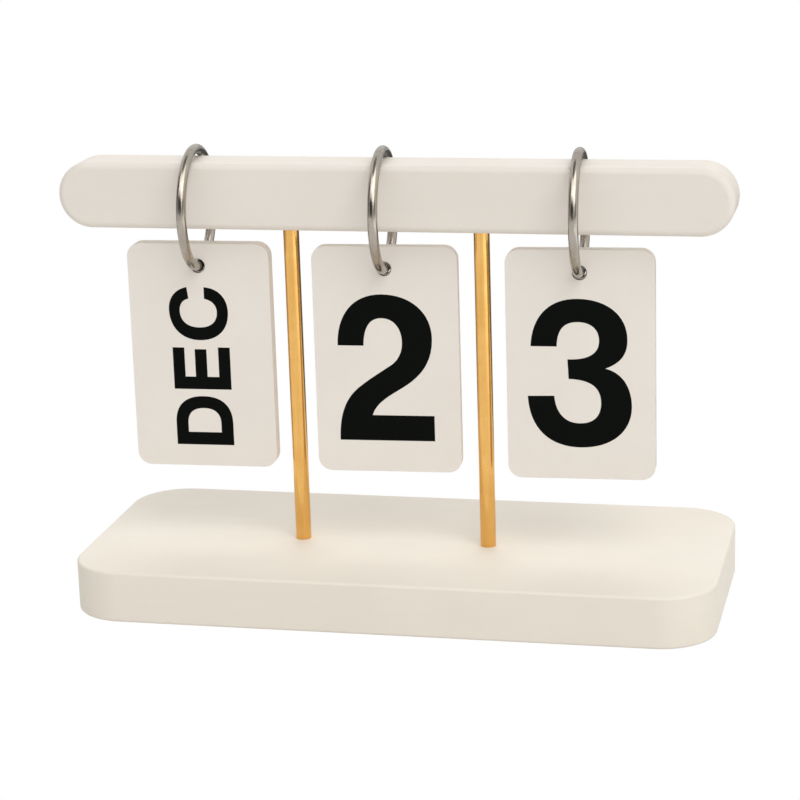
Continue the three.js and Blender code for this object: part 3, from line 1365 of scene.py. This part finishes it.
@dataclass(frozen=True)
class Studio:
    """A pale floor, a soft surround, the lamps, and the panels that the metal mirrors."""

    floor_size: float = 6.0
    floor_albedo: float = 0.8
    floor_tint: Triple = (1.0, 0.985, 0.955)
    surround: float = 0.60
    lamps: tuple[Lamp, ...] = (
        Lamp("key", (1.9, -2.0, 5.1), 4.4, 3.8, 90.0),
        Lamp("fill", (2.6, -3.9, 3.0), 4.4, 3.8, 84.0),
        Lamp("rear", (-0.6, 4.2, 3.6), 5.6, 3.0, 85.0),
    )
    panels: tuple[Panel, ...] = (
        Panel("panel_front", (-0.5, -2.0, 0.62), 3.4, 1.15, 0.03),
        Panel("panel_front_right", (1.9, -1.2, 0.5), 1.6, 0.9, 0.2, aim=(0.0, 0.0, 0.5)),
        Panel("panel_softbox", (-0.35, -0.9, 1.35), 1.4, 0.85, 2.6),
        Panel("panel_rear", (0.0, 1.5, 0.15), 3.2, 0.6, 0.55),
        Panel("panel_left", (-1.3, -0.15, 0.4), 0.9, 1.4, 0.12),
        Panel("panel_rear_high", (0.0, 1.7, 1.5), 3.4, 1.6, 0.85),
        Panel("panel_overhead", (-0.3, 0.13, 1.36), 0.9, 0.95, 0.2, lying=True),
        Panel("panel_rear_floor", (-0.5, 0.74, 0.001), 2.6, 1.16, 0.12, lying=True),
        Panel("panel_right_floor", (0.8, -0.2, 0.001), 1.0, 0.8, 1.6, lying=True),
    )

    def build(self) -> None:
        """Makes the floor, the surround, the lamps and the panels."""
        self._floor()
        self._world()
        for item in (*self.lamps, *self.panels):
            item.build()

    def _floor(self) -> None:
        """Makes the floor: it lights the object as a pale floor does, and looks plain white."""
        mesh = rectangle("floor", self.floor_size, self.floor_size)
        material, graph = blank_material("floor")
        pale = (*(self.floor_albedo * tint for tint in self.floor_tint), 1)
        matte = graph.node("ShaderNodeBsdfDiffuse", {"Color": pale})
        white = graph.node("ShaderNodeEmission", {"Color": WHITE, "Strength": 1.0})
        surface = graph.node("ShaderNodeMixShader", {0: graph.shown(), 1: matte, 2: white})
        graph.node("ShaderNodeOutputMaterial", {"Surface": surface})
        mesh.materials.append(material)
        linked("floor", mesh)

    def _world(self) -> None:
        """Makes the surround: white where it shows, and softer where it only lights."""
        world = bpy.data.worlds.new("surround")
        world.use_nodes = True
        graph = Graph(world.node_tree)
        strength = graph.shown() * (1.0 - self.surround) + self.surround
        soft = graph.node("ShaderNodeBackground", {"Color": WHITE, "Strength": strength})
        graph.node("ShaderNodeOutputWorld", {"Surface": soft})
        bpy.context.scene.world = world


@dataclass(frozen=True)
class Viewpoint:
    """The photo's camera: where it looks from, in degrees and metres, and its lens in mm."""

    azimuth: float = 13.13
    elevation: float = 15.33
    roll: float = -1.78
    distance: float = 0.884
    target: Triple = (-0.000214, 0.0, 0.069605)
    lens: float = 114.6
    sensor: float = 36.0
    clip: Range = (0.05, 20.0)

    def build(self) -> None:
        """Makes the camera."""
        azimuth, elevation = math.radians(self.azimuth), math.radians(self.elevation)
        ahead = Vector((-math.sin(azimuth), math.cos(azimuth), 0)) * math.cos(elevation)
        ahead.z = -math.sin(elevation)
        right = Vector((math.cos(azimuth), math.sin(azimuth), 0))
        up = right.cross(ahead)
        roll = math.radians(self.roll)
        tilted_right = right * math.cos(roll) + up * math.sin(roll)
        tilted_up = up * math.cos(roll) - right * math.sin(roll)
        data = bpy.data.cameras.new("camera")
        data.lens = self.lens
        data.sensor_width = self.sensor
        data.clip_start, data.clip_end = self.clip
        camera = linked("camera", data)
        axes = Matrix((tilted_right, tilted_up, -ahead)).transposed().to_4x4()
        place = Vector(self.target) - ahead * self.distance
        camera.matrix_world = Matrix.Translation(place) @ axes
        bpy.context.scene.camera = camera


# ---- main ----

PACKS = (
    Pack("month", 6, {
        (1, Side.FRONT): word("DEC"), (1, Side.BACK): word("JAN"),
        (2, Side.FRONT): word("FEB"), (6, Side.BACK): word("MAY"),
    }),
    Pack("tens", 4, {
        (1, Side.FRONT): digit("2"), (1, Side.BACK): digit("0"),
        (2, Side.FRONT): digit("3"), (4, Side.BACK): digit("1"),
    }),
    Pack("units", 5, {
        (1, Side.FRONT): digit("3"), (1, Side.BACK): digit("8"),
        (2, Side.FRONT): digit("2"), (5, Side.BACK): digit("0"),
    }),
)


def main() -> None:
    """Builds the calendar's looks round its CAD frame, and the studio."""
    logging.basicConfig(level=logging.INFO)
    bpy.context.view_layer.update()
    shop = Shop()
    Stand().build(shop)
    for pack in PACKS:
        pack.build(shop)
    Studio().build()
    Viewpoint().build()
    scene = bpy.context.scene
    scene.view_settings.view_transform = "Standard"


if __name__ == "__main__":
    main()
